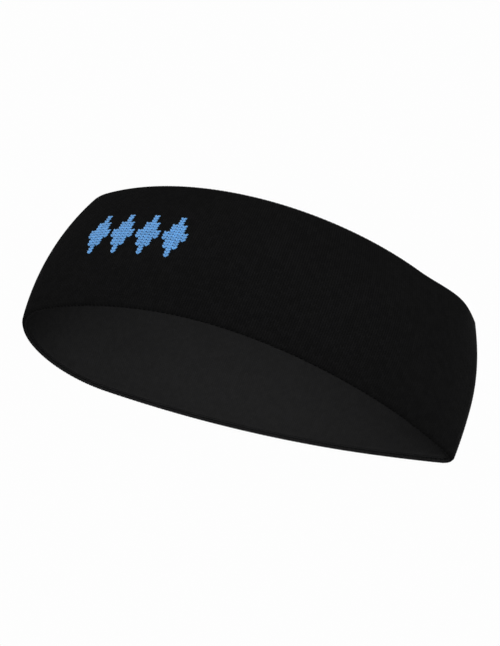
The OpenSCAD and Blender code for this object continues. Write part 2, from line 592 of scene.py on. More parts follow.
class KnitLayer:
    """A knitted skin: V stitches in real relief on a section path round the loop, closed at its back."""

    def __init__(self, loop: Loop, outside: SectionPath, inside: SectionPath, gauge: KnitGauge,
                 relief: Relief) -> None:
        """Counts the stitches.

        Args:
            loop: The band's loop.
            outside: Section of the visible side.
            inside: Section of the hidden side, from where the visible side ends to where it starts.
            gauge: Stitch sizes.
            relief: How the stitches stand up.
        """
        self.loop, self.outside, self.inside = loop, outside, inside
        self.gauge, self.relief = gauge, relief
        self.wales = round(loop.length / gauge.wale_pitch)
        self.courses = round(outside.length / gauge.course_pitch)

    def place(self, wale: np.ndarray, course: np.ndarray) -> tuple[np.ndarray, np.ndarray]:
        """Places on the visible side, at the feet of the stitches.

        Args:
            wale: Positions in wales round the loop.
            course: Positions in courses along the section.

        Returns:
            Points and unit normals, as arrays that end in 3.
        """
        along = wale / self.wales * self.loop.length
        out, height, normal_out, normal_up = self.outside.at(course / self.courses * self.outside.length)
        sideways = self.loop.sideways(along, out)
        normal = np.concatenate([sideways * normal_out[..., None], normal_up[..., None]], axis=-1)
        sunk = self.relief.crest * self.relief.sunk_share
        return self.loop.place(along, out, height) - normal * sunk, normal

    def build(self, name: str) -> bpy.types.Object:
        """Meshes the layer.

        Args:
            name: Name of the object.

        Returns:
            The object, with a UV map named Stitch that counts wales and courses.
        """
        g, r = self.gauge, self.relief
        columns, rows = self.wales * g.columns_per_wale, self.courses * g.rows_per_course + 1
        column, row = np.meshgrid(np.arange(columns), np.arange(rows))
        wale, course = column / g.columns_per_wale, row / g.rows_per_course
        across = np.abs(2 * (wale % 1.0) - 1)
        ends = smoothstep(np.minimum(course, self.courses - course))
        point, normal = self.place(wale, course + r.slant * (across - 0.5) * ends)
        valley = np.where(across > 0.5, r.wale_valley, r.leg_valley)
        leg = valley + (1 - valley) * np.sin(math.pi * across)
        course_share = r.course_valley + (1 - r.course_valley) * np.sin(math.pi * (course % 1.0))
        point = point + normal * (leg * course_share * r.crest * ends)[..., None]
        skin = RingSkin("Stitch", self.wales)
        for number, ring in enumerate(point):
            skin.add(ring, number / g.rows_per_course)
        along = np.arange(self.wales) / self.wales * self.loop.length
        for number, (out, height) in enumerate(zip(self.inside.out, self.inside.height)):
            skin.add(self.loop.place(along, out, height), self.courses + 1 + number)
        made = skin.build(name)
        log.info("%s: %d wales by %d courses", name, self.wales, self.courses)
        return made


class YarnPiece:
    """One short piece of yarn: a bent, tapered, closed tube, and the stitch shapes made of it.

    X runs along the band, Z up the band, and -Y is the side that is seen.
    """

    def __init__(self, sides: int = 8, rings: int = 5) -> None:
        """Sets how finely it is meshed."""
        self.sides, self.rings = sides, rings
        self.points: list[np.ndarray] = []
        self.sizes: list[int] = []
        self.corners: list[int] = []
        self.uv: list[Pair] = []

    def add_leg(self, first: Pair, last: Pair, half_width: float, half_depth: float, rise: float,
                sink: float) -> None:
        """Adds one tube.

        Args:
            first: Start of the tube as (x, z).
            last: Its end.
            half_width: Half its width in the cloth's plane.
            half_depth: Half its thickness.
            rise: How far its middle stands off the cloth's plane.
            sink: How far its ends sink below that plane.
        """
        start = sum(len(ring) for ring in self.points)
        run = np.array(last) - np.array(first)
        size = float(np.hypot(*run))
        side = np.array([-run[1], run[0]]) / size
        turn = np.arange(self.sides) / self.sides * math.tau
        for number in range(self.rings + 2):
            tip = number in (0, self.rings + 1)
            t = math.cos(math.pi * (1 - number / (self.rings + 1)))
            middle = np.array(first) + run * (t + 1) / 2
            depth = -(rise * (1 - t * t) - sink * t * t)
            swell = 0.0 if tip else math.sqrt(1 - abs(t) ** 3)
            across = np.cos(turn) * half_width * swell
            ring = np.stack([middle[0] + side[0] * across, depth + np.sin(turn) * half_depth * swell,
                             middle[1] + side[1] * across], axis=-1)
            self.points.append(ring[:1] if tip else ring)
        self._join(start)

    def _join(self, start: int) -> None:
        """Adds the faces of a tube.

        Args:
            start: Number of the vertex at its first tip.
        """
        last = self.rings + 1
        for ring in range(last):
            for i in range(self.sides):
                below = [(ring, i), (ring, i + 1)] if ring else [(0, i)]
                above = [(ring + 1, i + 1), (ring + 1, i)] if ring < self.rings else [(last, i)]
                self.sizes.append(len(below + above))
                for level, turn in below + above:
                    inner = 0 < level < last
                    first = start + 1 + (level - 1) * self.sides if level else start
                    self.corners.append(first + (turn % self.sides if inner else 0))
                    self.uv.append((level / last, turn / self.sides))

    def build(self, name: str) -> bpy.types.Object:
        """Makes the stitch.

        Args:
            name: Name of the object.

        Returns:
            The object, with a UV map named Yarn: U along the yarn and V round it.
        """
        points = np.concatenate(self.points)
        mesh = mesh_of(points, np.array(self.sizes), np.array(self.corners), "Yarn", np.array(self.uv))
        return new_object(name, mesh)


# ---- Node trees --------------------------------------------------------------------------------------


def live(sockets: Iterable[bpy.types.NodeSocket], key: Any) -> bpy.types.NodeSocket:
    """Finds a socket.

    Args:
        sockets: A node's inputs or outputs.
        key: Its name, or its number.

    Returns:
        The socket of that number, or the one in use that has that name.
    """
    if isinstance(key, int):
        return sockets[key]
    return next(socket for socket in sockets if socket.name == key and socket.enabled)


class Graph:
    """Builds one node tree, and lays its nodes out in rows."""

    nodes_per_row = 8
    spacing = (220, -280)

    def __init__(self, tree: bpy.types.NodeTree) -> None:
        """Keeps the tree."""
        self.tree = tree

    @classmethod
    def cleared(cls, owner: Any) -> "Graph":
        """Empties the tree of a material or a world.

        Args:
            owner: The material or the world.

        Returns:
            A graph on its tree.
        """
        owner.use_nodes = True
        owner.node_tree.nodes.clear()
        return cls(owner.node_tree)

    def node(self, kind: str, inputs: dict[Any, Any] | None = None, **settings: Any) -> bpy.types.Node:
        """Makes a node.

        Args:
            kind: The node's type.
            inputs: Socket name or number to a socket to link, or to a value.
            **settings: The node's own properties.

        Returns:
            The node.
        """
        made = self.tree.nodes.new(kind)
        row, column = divmod(len(self.tree.nodes), self.nodes_per_row)
        made.location = (self.spacing[0] * column, self.spacing[1] * row)
        for name, value in settings.items():
            setattr(made, name, value)
        for key, value in (inputs or {}).items():
            self.feed(value, live(made.inputs, key))
        return made

    def feed(self, value: Any, socket: bpy.types.NodeSocket) -> None:
        """Links a socket to another, or sets its value."""
        if isinstance(value, bpy.types.NodeSocket):
            self.tree.links.new(value, socket)
        else:
            socket.default_value = value

    def math(self, operation: str, *values: Any) -> bpy.types.NodeSocket:
        """One Math node, with its values or links in order."""
        return self.node("ShaderNodeMath", dict(enumerate(values)), operation=operation).outputs[0]

    def times(self, *values: Any) -> bpy.types.NodeSocket:
        """The product of two or more numbers."""
        result = values[0]
        for value in values[1:]:
            result = self.math("MULTIPLY", result, value)
        return result

    def total(self, *parts: tuple[Any, float]) -> bpy.types.NodeSocket:
        """A weighted sum of (value, weight) parts."""
        result: Any = 0.0
        for value, weight in parts:
            result = self.math("MULTIPLY_ADD", value, weight, result)
        return result

    def fit(self, value: Any, low: float, high: float) -> bpy.types.NodeSocket:
        """A value from 0 to 1, mapped to between low and high."""
        return self.math("MULTIPLY_ADD", value, high - low, low)

    def scaled(self, colour: Any, factor: Any) -> bpy.types.NodeSocket:
        """A colour times a number."""
        return self.node("ShaderNodeVectorMath", {0: colour, "Scale": factor}, operation="SCALE").outputs[0]

    def mixed(self, share: Any, first: Colour, second: Colour) -> bpy.types.NodeSocket:
        """Two colours mixed by a share."""
        mix = self.node("ShaderNodeMix", {"Factor": share, "A": (*first, 1.0), "B": (*second, 1.0)},
                        data_type="RGBA")
        return live(mix.outputs, "Result")

    def group(self, tree: bpy.types.NodeTree, **inputs: Any) -> Any:
        """Places a node group.

        Args:
            tree: The group.
            **inputs: Its inputs, with spaces written as underscores.

        Returns:
            The group's outputs.
        """
        made = self.node("ShaderNodeGroup", node_tree=tree)
        for name, value in inputs.items():
            self.feed(value, made.inputs[name.replace("_", " ")])
        return made.outputs


class SharedGroups:
    """Shader node groups that several finishes use, each built once.

    The lower a roundness, the flatter the top of the leg and the steeper its sides.
    """

    leg_roundness = 0.6
    end_roundness = 0.5
    end_height = 0.25

    def __init__(self) -> None:
        """Builds the groups."""
        self.cell = self._cell()
        self.twist = self._twist()
        self.fuzz = self._fuzz()

    @staticmethod
    def _start(name: str, inputs: dict[str, str], outputs: Sequence[str]) -> tuple[Graph, Any, Any]:
        """Makes an empty shader group.

        Args:
            name: Name of the group.
            inputs: Input name to socket type.
            outputs: Names of its outputs, which are all numbers.

        Returns:
            The graph, what it is given, and where its results go.
        """
        tree = bpy.data.node_groups.new(name, "ShaderNodeTree")
        for label, kind in inputs.items():
            tree.interface.new_socket(label, in_out="INPUT", socket_type=kind)
        for label in outputs:
            tree.interface.new_socket(label, in_out="OUTPUT", socket_type="NodeSocketFloat")
        graph = Graph(tree)
        return graph, graph.node("NodeGroupInput").outputs, graph.node("NodeGroupOutput").inputs

    def _cell(self) -> bpy.types.NodeTree:
        """The stitch that a place belongs to: across its legs, along them, its height and a number."""
        graph, given, result = self._start(
            "Stitch_Cell", {"Stitch": "NodeSocketVector"}, ("Across", "Along", "Height", "Random"))
        split = graph.node("ShaderNodeSeparateXYZ", {0: given["Stitch"]}).outputs
        across = graph.math("ABSOLUTE", graph.fit(graph.math("FRACT", split["X"]), -1.0, 1.0))
        along = graph.math("FRACT", split["Y"])
        leg = graph.math("POWER", graph.math("SINE", graph.times(across, math.pi)),
                         self.leg_roundness)
        end = graph.math("POWER", graph.math("SINE", graph.times(along, math.pi)),
                         self.end_roundness)
        whole = graph.node("ShaderNodeVectorMath", {0: given["Stitch"]}, operation="FLOOR").outputs[0]
        noise = graph.node("ShaderNodeTexWhiteNoise", {"Vector": whole}, noise_dimensions="2D")
        graph.feed(across, result["Across"])
        graph.feed(along, result["Along"])
        graph.feed(graph.times(leg, graph.fit(end, self.end_height, 1.0)), result["Height"])
        graph.feed(noise.outputs["Value"], result["Random"])
        return graph.tree

    def _twist(self) -> bpy.types.NodeTree:
        """Height of the plies that are twisted round each other in a yarn."""
        graph, given, result = self._start(
            "Yarn_Twist",
            {"Round": "NodeSocketFloat", "Along": "NodeSocketFloat", "Turns": "NodeSocketFloat",
             "Plies": "NodeSocketFloat"}, ("Height",))
        phase = graph.math("MULTIPLY_ADD", given["Along"], given["Turns"],
                           graph.times(given["Round"], given["Plies"]))
        wave = graph.math("SINE", graph.times(phase, math.tau))
        graph.feed(graph.math("ABSOLUTE", wave), result["Height"])
        return graph.tree

    def _fuzz(self) -> bpy.types.NodeTree:
        """Fine fibres and the slow unevenness of dyed cloth, both from 0 to 1."""
        graph, given, result = self._start(
            "Fibre_Fuzz",
            {"Place": "NodeSocketVector", "Fibre Scale": "NodeSocketFloat",
             "Patch Scale": "NodeSocketFloat"}, ("Fibre", "Patch"))
        fine = graph.node("ShaderNodeTexNoise", {"Vector": given["Place"], "Scale": given["Fibre Scale"],
                                                 "Detail": 3.0, "Roughness": 0.7, "Distortion": 0.8})
        slow = graph.node("ShaderNodeTexNoise", {"Vector": given["Place"], "Scale": given["Patch Scale"],
                                                 "Detail": 2.0})
        graph.feed(fine.outputs[0], result["Fibre"])
        graph.feed(slow.outputs[0], result["Patch"])
        return graph.tree


# ---- Finishes ----------------------------------------------------------------------------------------


@dataclass(frozen=True)
class Surface:
    """Constant values of a finish's shader."""

    roughness: float
    specular: float
    sheen: float = 0.0
    sheen_roughness: float = 0.5
    anisotropy: float = 0.0

    def start(self, name: str, groups: SharedGroups, uv_map: str, fibre_scale: float,
              patch_scale: float = 0.0) -> tuple[bpy.types.Material, Graph, bpy.types.Node, Any, Any]:
        """Makes a material with its shader, its pattern's map and its fuzz.

        Args:
            name: Name of the material.
            groups: The shared node groups.
            uv_map: Name of the UV map that its pattern follows.
            fibre_scale: How fine its fibres are.
            patch_scale: How fine its slow unevenness is, where the finish uses it.

        Returns:
            The material, its graph, its shader node, the map's output and the fuzz's outputs.
        """
        material = bpy.data.materials.new(name)
        graph = Graph.cleared(material)
        shader = graph.node("ShaderNodeBsdfPrincipled", {
            "Roughness": self.roughness, "Specular IOR Level": self.specular, "Sheen Weight": self.sheen,
            "Sheen Roughness": self.sheen_roughness, "Anisotropic": self.anisotropy})
        graph.node("ShaderNodeOutputMaterial", {"Surface": shader.outputs[0]})
        pattern = graph.node("ShaderNodeUVMap", uv_map=uv_map).outputs[0]
        place = graph.node("ShaderNodeTexCoord").outputs["Object"]
        fuzz = graph.group(groups.fuzz, Place=place, Fibre_Scale=fibre_scale, Patch_Scale=patch_scale)
        return material, graph, shader, pattern, fuzz

    @staticmethod
    def raise_up(graph: Graph, shader: bpy.types.Node, height: Any, depth: float) -> None:
        """Feeds a height from 0 to 1, that is so many metres deep, into the shader's normal."""
        bump = graph.node("ShaderNodeBump", {"Height": height, "Distance": depth, "Strength": 1.0})
        graph.feed(bump.outputs[0], shader.inputs["Normal"])


@dataclass(frozen=True)
class KnitFinish:
    """A knitted layer's finish: its colour, the painted shade in its valleys, and how uneven it is."""

    colour: Colour
    surface: Surface
    valley_shade: float = 0.7
    stitch_spread: float = 0.1
    patch_spread: float = 0.1
    fibre_spread: float = 0.25
    depth: float = 0.16 * MM
    fibre_scale: float = 3800.0
    patch_scale: float = 34.0
    ply_turns: float = 1.5
    turned_colour: Colour = (0.0, 0.0, 0.0)
    turned_from: float = -1.0
    turned_to: float = 1000.0

    def material(self, name: str, groups: SharedGroups) -> bpy.types.Material:
        """Makes the material, which follows the stitches.

        Args:
            name: Name of the material.
            groups: The shared node groups.

        Returns:
            The material.
        """
        material, graph, shader, stitch, fuzz = self.surface.start(
            name, groups, "Stitch", self.fibre_scale, self.patch_scale)
        cell = graph.group(groups.cell, Stitch=stitch)
        twist = graph.group(groups.twist, Round=cell["Across"], Along=cell["Along"], Turns=self.ply_turns,
                            Plies=self.ply_turns)
        # Painted shade: the valleys between wales and legs are darkened by the stitch height (valley_shade).
        # This is multiplied by real tone that differs at random by stitch, patch and fibre.
        shade = graph.times(
            graph.fit(cell["Height"], self.valley_shade, 1.0),
            graph.fit(cell["Random"], 1 - self.stitch_spread, 1 + self.stitch_spread),
            graph.fit(fuzz["Patch"], 1 - self.patch_spread, 1 + self.patch_spread),
            graph.fit(fuzz["Fibre"], 1 - self.fibre_spread, 1 + self.fibre_spread))
        course = graph.node("ShaderNodeSeparateXYZ", {0: stitch}).outputs["Y"]
        turned = graph.math("ADD", graph.math("LESS_THAN", course, self.turned_from),
                            graph.math("GREATER_THAN", course, self.turned_to))
        yarn = graph.mixed(turned, self.colour, self.turned_colour)
        graph.feed(graph.scaled(yarn, shade), shader.inputs["Base Color"])
        height = graph.total((cell["Height"], 0.6), (twist["Height"], 0.18), (fuzz["Fibre"], 0.22))
        self.surface.raise_up(graph, shader, height, self.depth)
        return material


@dataclass(frozen=True)
class YarnFinish:
    """Finish of yarn or thread that is laid as single stitches, with painted shade in the hollows between
    its plies.
    """

    colour: Colour
    painted_hollow_shade: Colour
    surface: Surface
    plies: float = 3.0
    turns: float = 3.0
    tint_spread: float = 0.12
    depth: float = 0.09 * MM
    fibre_scale: float = 6500.0
    fibre_spread: float = 0.3
    ply_roundness: float = 0.5

    def material(self, name: str, groups: SharedGroups) -> bpy.types.Material:
        """Makes the material, which follows the yarn along and round it.

        Args:
            name: Name of the material.
            groups: The shared node groups.

        Returns:
            The material.
        """
        material, graph, shader, yarn, fuzz = self.surface.start(name, groups, "Yarn", self.fibre_scale)
        split = graph.node("ShaderNodeSeparateXYZ", {0: yarn}).outputs
        tint = graph.node("ShaderNodeAttribute", attribute_name="tint").outputs["Fac"]
        twist = graph.group(groups.twist, Round=split["Y"], Along=split["X"], Turns=self.turns / 2,
                            Plies=self.plies / 2)["Height"]
        ply = graph.math("POWER", twist, self.ply_roundness)
        shade = graph.fit(fuzz["Fibre"], 1 - self.fibre_spread, 1 + self.fibre_spread)
        # Painted shade: the hollows between the twisted plies are mixed towards a darker shade colour, times
        # real fibre tone.
        colour = graph.mixed(graph.times(ply, shade), self.painted_hollow_shade, self.colour)
        spread = graph.fit(tint, 1 - self.tint_spread, 1 + self.tint_spread)
        graph.feed(graph.scaled(colour, spread), shader.inputs["Base Color"])
        self.surface.raise_up(graph, shader, graph.total((ply, 0.7), (fuzz["Fibre"], 0.3)), self.depth)
        return material


@dataclass(frozen=True)
class WovenFinish:
    """Finish of a woven ribbon or tape, with painted shade where its threads dip. Its UV map Cloth counts
    metres along and across.
    """

    colour: Colour
    painted_gap_shade: Colour
    surface: Surface
    warp_pitch: float
    weft_pitch: float
    float_length: float
    depth: float
    fibre_scale: float = 5200.0
    fibre_spread: float = 0.1
    weft_step: float = 0.4
    warp_roundness: float = 0.6
    float_roundness: float = 0.3

    def material(self, name: str, groups: SharedGroups) -> bpy.types.Material:
        """Makes the material, which follows the weave.

        Args:
            name: Name of the material.
            groups: The shared node groups.

        Returns:
            The material.
        """
        material, graph, shader, cloth, fuzz = self.surface.start(name, groups, "Cloth", self.fibre_scale)
        split = graph.node("ShaderNodeSeparateXYZ", {0: cloth}).outputs
        warp = graph.times(split["X"], 1 / self.warp_pitch)
        shifted = graph.math("MULTIPLY_ADD", graph.math("FLOOR", warp), self.weft_step,
                             graph.times(split["Y"], 1 / (self.weft_pitch * self.float_length)))
        thread = graph.math("SINE", graph.times(graph.math("FRACT", warp), math.pi))
        bend = graph.math("SINE", graph.times(graph.math("FRACT", shifted), math.pi))
        height = graph.times(graph.math("POWER", thread, self.warp_roundness),
                             graph.math("POWER", bend, self.float_roundness))
        shade = graph.fit(fuzz["Fibre"], 1 - self.fibre_spread, 1 + self.fibre_spread)
        # Painted shade: the gaps and dips between threads are mixed towards a darker shade colour, times
        # real fibre tone.
        colour = graph.mixed(graph.times(height, shade), self.painted_gap_shade, self.colour)
        graph.feed(colour, shader.inputs["Base Color"])
        self.surface.raise_up(graph, shader, graph.total((height, 0.8), (fuzz["Fibre"], 0.2)), self.depth)
        return material


class FinishRack:
    """All the band's finishes. The face's first and last courses are tucked in, in the lining's yarn."""

    charcoal = (0.0158, 0.0158, 0.0161)
    face_courses = 53.0
    tucked_courses = 2.0
    face = KnitFinish(colour=(0.0043, 0.0043, 0.0044), surface=Surface(roughness=0.95, specular=0.02),
                      valley_shade=0.45, stitch_spread=0.15, turned_colour=charcoal,
                      turned_from=tucked_courses, turned_to=face_courses - tucked_courses)
    lining = KnitFinish(colour=charcoal, surface=Surface(roughness=0.95, specular=0.02),
                        depth=0.1 * MM, valley_shade=0.75, stitch_spread=0.08, patch_spread=0.05)
    motif = YarnFinish(colour=(0.084, 0.25, 0.5), painted_hollow_shade=(0.028, 0.11, 0.3),
                       surface=Surface(roughness=0.7, specular=0.2, sheen=0.15))
    thread = YarnFinish(colour=(0.014, 0.014, 0.0145), painted_hollow_shade=(0.006, 0.006, 0.0065),
                        surface=Surface(roughness=0.75, specular=0.08), turns=4.0)
    elastic = WovenFinish(colour=(0.62, 0.62, 0.6), painted_gap_shade=(0.3, 0.3, 0.29),
                          surface=Surface(roughness=0.7, specular=0.2), warp_pitch=0.25 * MM,
                          weft_pitch=0.35 * MM, float_length=2.0, depth=0.08 * MM)
    satin = WovenFinish(colour=(0.6, 0.6, 0.585), painted_gap_shade=(0.45, 0.45, 0.44),
                        surface=Surface(roughness=0.38, specular=0.5, sheen=0.1, anisotropy=0.4),
                        warp_pitch=0.12 * MM, weft_pitch=0.12 * MM, float_length=5.0, depth=0.02 * MM)

    def __init__(self) -> None:
        """Makes every material once."""
        groups = SharedGroups()
        self.materials = {
            Slot.FACE: self.face.material("Black_Face_Knit", groups),
            Slot.LINING: self.lining.material("Charcoal_Lining_Knit", groups),
            Slot.MOTIF: self.motif.material("Blue_Motif_Yarn", groups),
            Slot.THREAD: self.thread.material("Charcoal_Seam_Thread", groups),
            Slot.ELASTIC: self.elastic.material("Woven_Elastic", groups),
            Slot.LABEL: self.satin.material("White_Satin", groups),
        }

    def dress(self, piece: bpy.types.Object, slot: Slot) -> bpy.types.Object:
        """Gives a piece the material of its record slot.

        Args:
            piece: The piece.
            slot: The slot.

        Returns:
            The piece.
        """
        piece.data.materials.clear()
        piece.data.materials.append(self.materials[slot])
        return piece


# ---- Laying stitches ---------------------------------------------------------------------------------


@dataclass
class StitchPlan:
    """Where stitches go, and which way each one lies."""

    points: np.ndarray
    along: np.ndarray
    up: np.ndarray
    directions = ("along_dir", "up_dir")

    @classmethod
    def level(cls, points: np.ndarray, outward: np.ndarray) -> "StitchPlan":
        """Stitches that lie level on upright cloth, with its outward normals in plan."""
        run = np.stack([outward[:, 1], -outward[:, 0], np.zeros(len(points))], axis=-1)
        return cls(points, run, np.tile([0.0, 0.0, 1.0], (len(points), 1)))

    def mesh(self) -> bpy.types.Mesh:
        """Makes a mesh of loose points with a direction along and a direction up.

        Returns:
            The mesh.
        """
        mesh = bpy.data.meshes.new("Stitch_Plan")
        mesh.vertices.add(len(self.points))
        mesh.vertices.foreach_set("co", self.points.reshape(-1).astype(np.float32))
        for name, values in zip(self.directions, (self.along, self.up)):
            attribute = mesh.attributes.new(name, "FLOAT_VECTOR", "POINT")
            attribute.data.foreach_set("vector", values.reshape(-1).astype(np.float32))
        return mesh


class StitchLayer:
    """Geometry Nodes that lay one stitch shape on every point of a plan."""

    def __init__(self) -> None:
        """Builds the tree."""
        tree = bpy.data.node_groups.new("Lay_Stitches", "GeometryNodeTree")
        sockets = {"Plan": "Geometry", "Stitch": "Object", "Smallest": "Float", "Largest": "Float",
                   "Seed": "Int", "Finish": "Material"}
        self.inputs = {
            name: tree.interface.new_socket(name, in_out="INPUT", socket_type="NodeSocket" + kind).identifier
            for name, kind in sockets.items()}
        tree.interface.new_socket("Laid", in_out="OUTPUT", socket_type="NodeSocketGeometry")
        graph = Graph(tree)
        given = graph.node("NodeGroupInput").outputs
        shape = graph.node("GeometryNodeObjectInfo", {"Object": given["Stitch"]}, transform_space="ORIGINAL")
        along, up = (
            live(graph.node("GeometryNodeInputNamedAttribute", {"Name": name},
                            data_type="FLOAT_VECTOR").outputs, "Attribute")
            for name in StitchPlan.directions)
        turn = graph.node("FunctionNodeAxesToRotation", {0: up, 1: along}, primary_axis="Z",
                          secondary_axis="X")
        size = graph.node("FunctionNodeRandomValue", {"Min": given["Smallest"], "Max": given["Largest"],
                                                      "Seed": given["Seed"]}, data_type="FLOAT")
        laid = graph.node("GeometryNodeInstanceOnPoints", {
            "Points": given["Plan"], "Instance": shape.outputs["Geometry"], "Rotation": turn.outputs[0],
            "Scale": live(size.outputs, "Value")})
        tint = graph.node("FunctionNodeRandomValue", {"Min": 0.0, "Max": 1.0, "Seed": given["Seed"]},
                          data_type="FLOAT")
        marked = graph.node("GeometryNodeStoreNamedAttribute", {
            "Geometry": laid.outputs[0], "Name": "tint", "Value": live(tint.outputs, "Value")},
            data_type="FLOAT", domain="INSTANCE")
        real = graph.node("GeometryNodeRealizeInstances", {"Geometry": marked.outputs[0]})
        done = graph.node("GeometryNodeSetMaterial", {"Geometry": real.outputs[0],
                                                      "Material": given["Finish"]})
        graph.node("NodeGroupOutput", {"Laid": done.outputs[0]})
        self.tree = tree

    def lay(self, name: str, plan: StitchPlan, stitch: YarnPiece, finish: bpy.types.Material,
            seed: int, spread: float = 0.04) -> bpy.types.Object:
        """Lays the stitches and turns them into one plain mesh.

        Args:
            name: Name of the piece.
            plan: Where they go.
            stitch: The shape of one.
            finish: Their material.
            seed: Seed of their small differences.
            spread: How much their size differs, as a share.

        Returns:
            The piece.
        """
        shape = stitch.build(name + "_Stitch")
        source = new_object(name + "_Plan", plan.mesh())
        modifier = source.modifiers.new("Lay_Stitches", "NODES")
        modifier.node_group = self.tree
        values = {"Stitch": shape, "Smallest": 1 - spread, "Largest": 1 + spread, "Seed": seed,
                  "Finish": finish}
        for key, value in values.items():
            modifier[self.inputs[key]] = value
        made = plain_mesh(source, name)
        bpy.data.objects.remove(shape)
        for extra in StitchPlan.directions:
            if extra in made.data.attributes:
                made.data.attributes.remove(made.data.attributes[extra])
        log.info("%s: %d stitches, %d faces", name, len(plan.points), len(made.data.polygons))
        return made


# ---- The band's sub-assemblies -----------------------------------------------------------------------


@dataclass
class Workshop:
    """What every sub-assembly works with."""

    sizes: BandSizes
    loop: Loop
    section: WallSection
    gauge: KnitGauge
    rack: FinishRack
    stitcher: StitchLayer

    @classmethod
    def open(cls) -> "Workshop":
        """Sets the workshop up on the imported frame."""
        sizes = BandSizes.from_frame()
        loop = Loop(sizes, Slump())
        return cls(sizes, loop, WallSection(sizes), KnitGauge(), FinishRack(), StitchLayer())

    def hand_over(self, piece: bpy.types.Object, slot: Slot, node: str) -> bpy.types.Object:
        """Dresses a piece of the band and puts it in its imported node's place.

        Args:
            piece: The piece.
            slot: Its record slot.
            node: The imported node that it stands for.

        Returns:
            The piece.
        """
        self.rack.dress(piece, slot)
        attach(piece, Body.BAND.value)
        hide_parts(node)
        return piece

    def sew(self, name: str, plan: StitchPlan, stitch: YarnPiece, slot: Slot, seed: int, node: str) -> None:
        """Lays stitches as one piece of the band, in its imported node's place."""
        self.hand_over(self.stitcher.lay(name, plan, stitch, self.rack.materials[slot], seed), slot, node)


@dataclass
class KnittedTube:
    """The band's cloth: one knitted tube, doubled over, with its face outside and its lining inside."""

    shop: Workshop
    face_relief: Relief = Relief(crest=0.3 * MM, slant=0.9, wale_valley=0.1, leg_valley=0.35,
                                 course_valley=0.45)
    lining_relief: Relief = Relief(crest=0.16 * MM, slant=0.9, wale_valley=0.2, leg_valley=0.4,
                                   course_valley=0.5)
    face_layer: KnitLayer = field(init=False)

    def _layer(self, outside: list[Pair], inside: list[Pair], relief: Relief) -> KnitLayer:
        """Makes a layer between its visible and its hidden line."""
        shop = self.shop
        paths = (SectionPath(points, shop.sizes) for points in (outside, inside))
        return KnitLayer(shop.loop, *paths, shop.gauge, relief)

    def _finish(self, layer: KnitLayer, name: str, node: str, slot: Slot) -> None:
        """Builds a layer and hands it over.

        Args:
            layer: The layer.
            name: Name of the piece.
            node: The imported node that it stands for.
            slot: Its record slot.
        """
        piece = self.shop.hand_over(layer.build(name), slot, node)

    def build(self) -> None:
        """Builds the face and the lining."""
        section = self.shop.section
        self.face_layer = self._layer(section.face_outside(), section.face_inside(), self.face_relief)
        self._finish(self.face_layer, "Knitted_Face", "outer_shell", Slot.FACE)
        lining = self._layer(section.lining_outside(), section.lining_inside(), self.lining_relief)
        self._finish(lining, "Knitted_Lining", "inner_lining", Slot.LINING)


@dataclass
class ElasticTapes:
    """The two woven elastic tapes between the face and the lining."""

    shop: Workshop
    near_depth: float = 1.05 * MM
    far_depth: float = 1.45 * MM
    ribs: int = 10
    rib_rise: float = 0.05 * MM
    columns: int = 456

    def build(self) -> None:
        """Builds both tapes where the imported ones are."""
        for edge in Edge:
            node = f"{edge.value.lower()}_elastic"
            low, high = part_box(node)
            section = self.shop.section.tape(low.z, high.z, self.near_depth, self.far_depth, self.ribs,
                                             self.rib_rise)
            path = SectionPath(section, self.shop.sizes)
            along = np.arange(self.columns) / self.columns * self.shop.loop.length
            skin = RingSkin("Cloth", self.shop.loop.length)
            for out, height, distance in zip(path.out, path.height, path.distance):
                skin.add(self.shop.loop.place(along, out, height), float(distance))
            piece = self.shop.hand_over(skin.build(f"{edge.value}_Elastic_Tape"), Slot.ELASTIC, node)
            log.info("%s: %d ribs", piece.name, self.ribs)


@dataclass
class SeamThreads:
    """The two rows of linking stitches that join the lining to the turned edges."""

    shop: Workshop
    half_length: float = 1.2 * MM
    climb: float = 0.16 * MM
    half_width: float = 0.26 * MM
    half_depth: float = 0.24 * MM
    rise: float = 0.05 * MM
    sink: float = 0.2 * MM
    depth: float = 2.16 * MM
    first_seed: int = 11

    def build(self) -> None:
        """Lays a row at each edge, one stitch to a wale."""
        loop, sizes = self.shop.loop, self.shop.sizes
        count = round(loop.length / self.shop.gauge.wale_pitch)
        along = (np.arange(count) + 0.5) / count * loop.length
        for seed, edge in enumerate(Edge):
            node = f"{edge.value.lower()}_seam_thread"
            low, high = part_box(node)
            height = (low.z + high.z) / 2
            out = -sizes.bow(np.array(height)) - self.depth
            plan = StitchPlan.level(loop.place(along, out, height), loop.sideways(along, out))
            stitch = YarnPiece(sides=6, rings=5)
            stitch.add_leg((-self.half_length, -self.climb), (self.half_length, self.climb),
                           self.half_width, self.half_depth, self.rise, self.sink)
            name = f"{edge.value}_Seam_Thread"
            self.shop.sew(name, plan, stitch, Slot.THREAD, self.first_seed + seed, node)


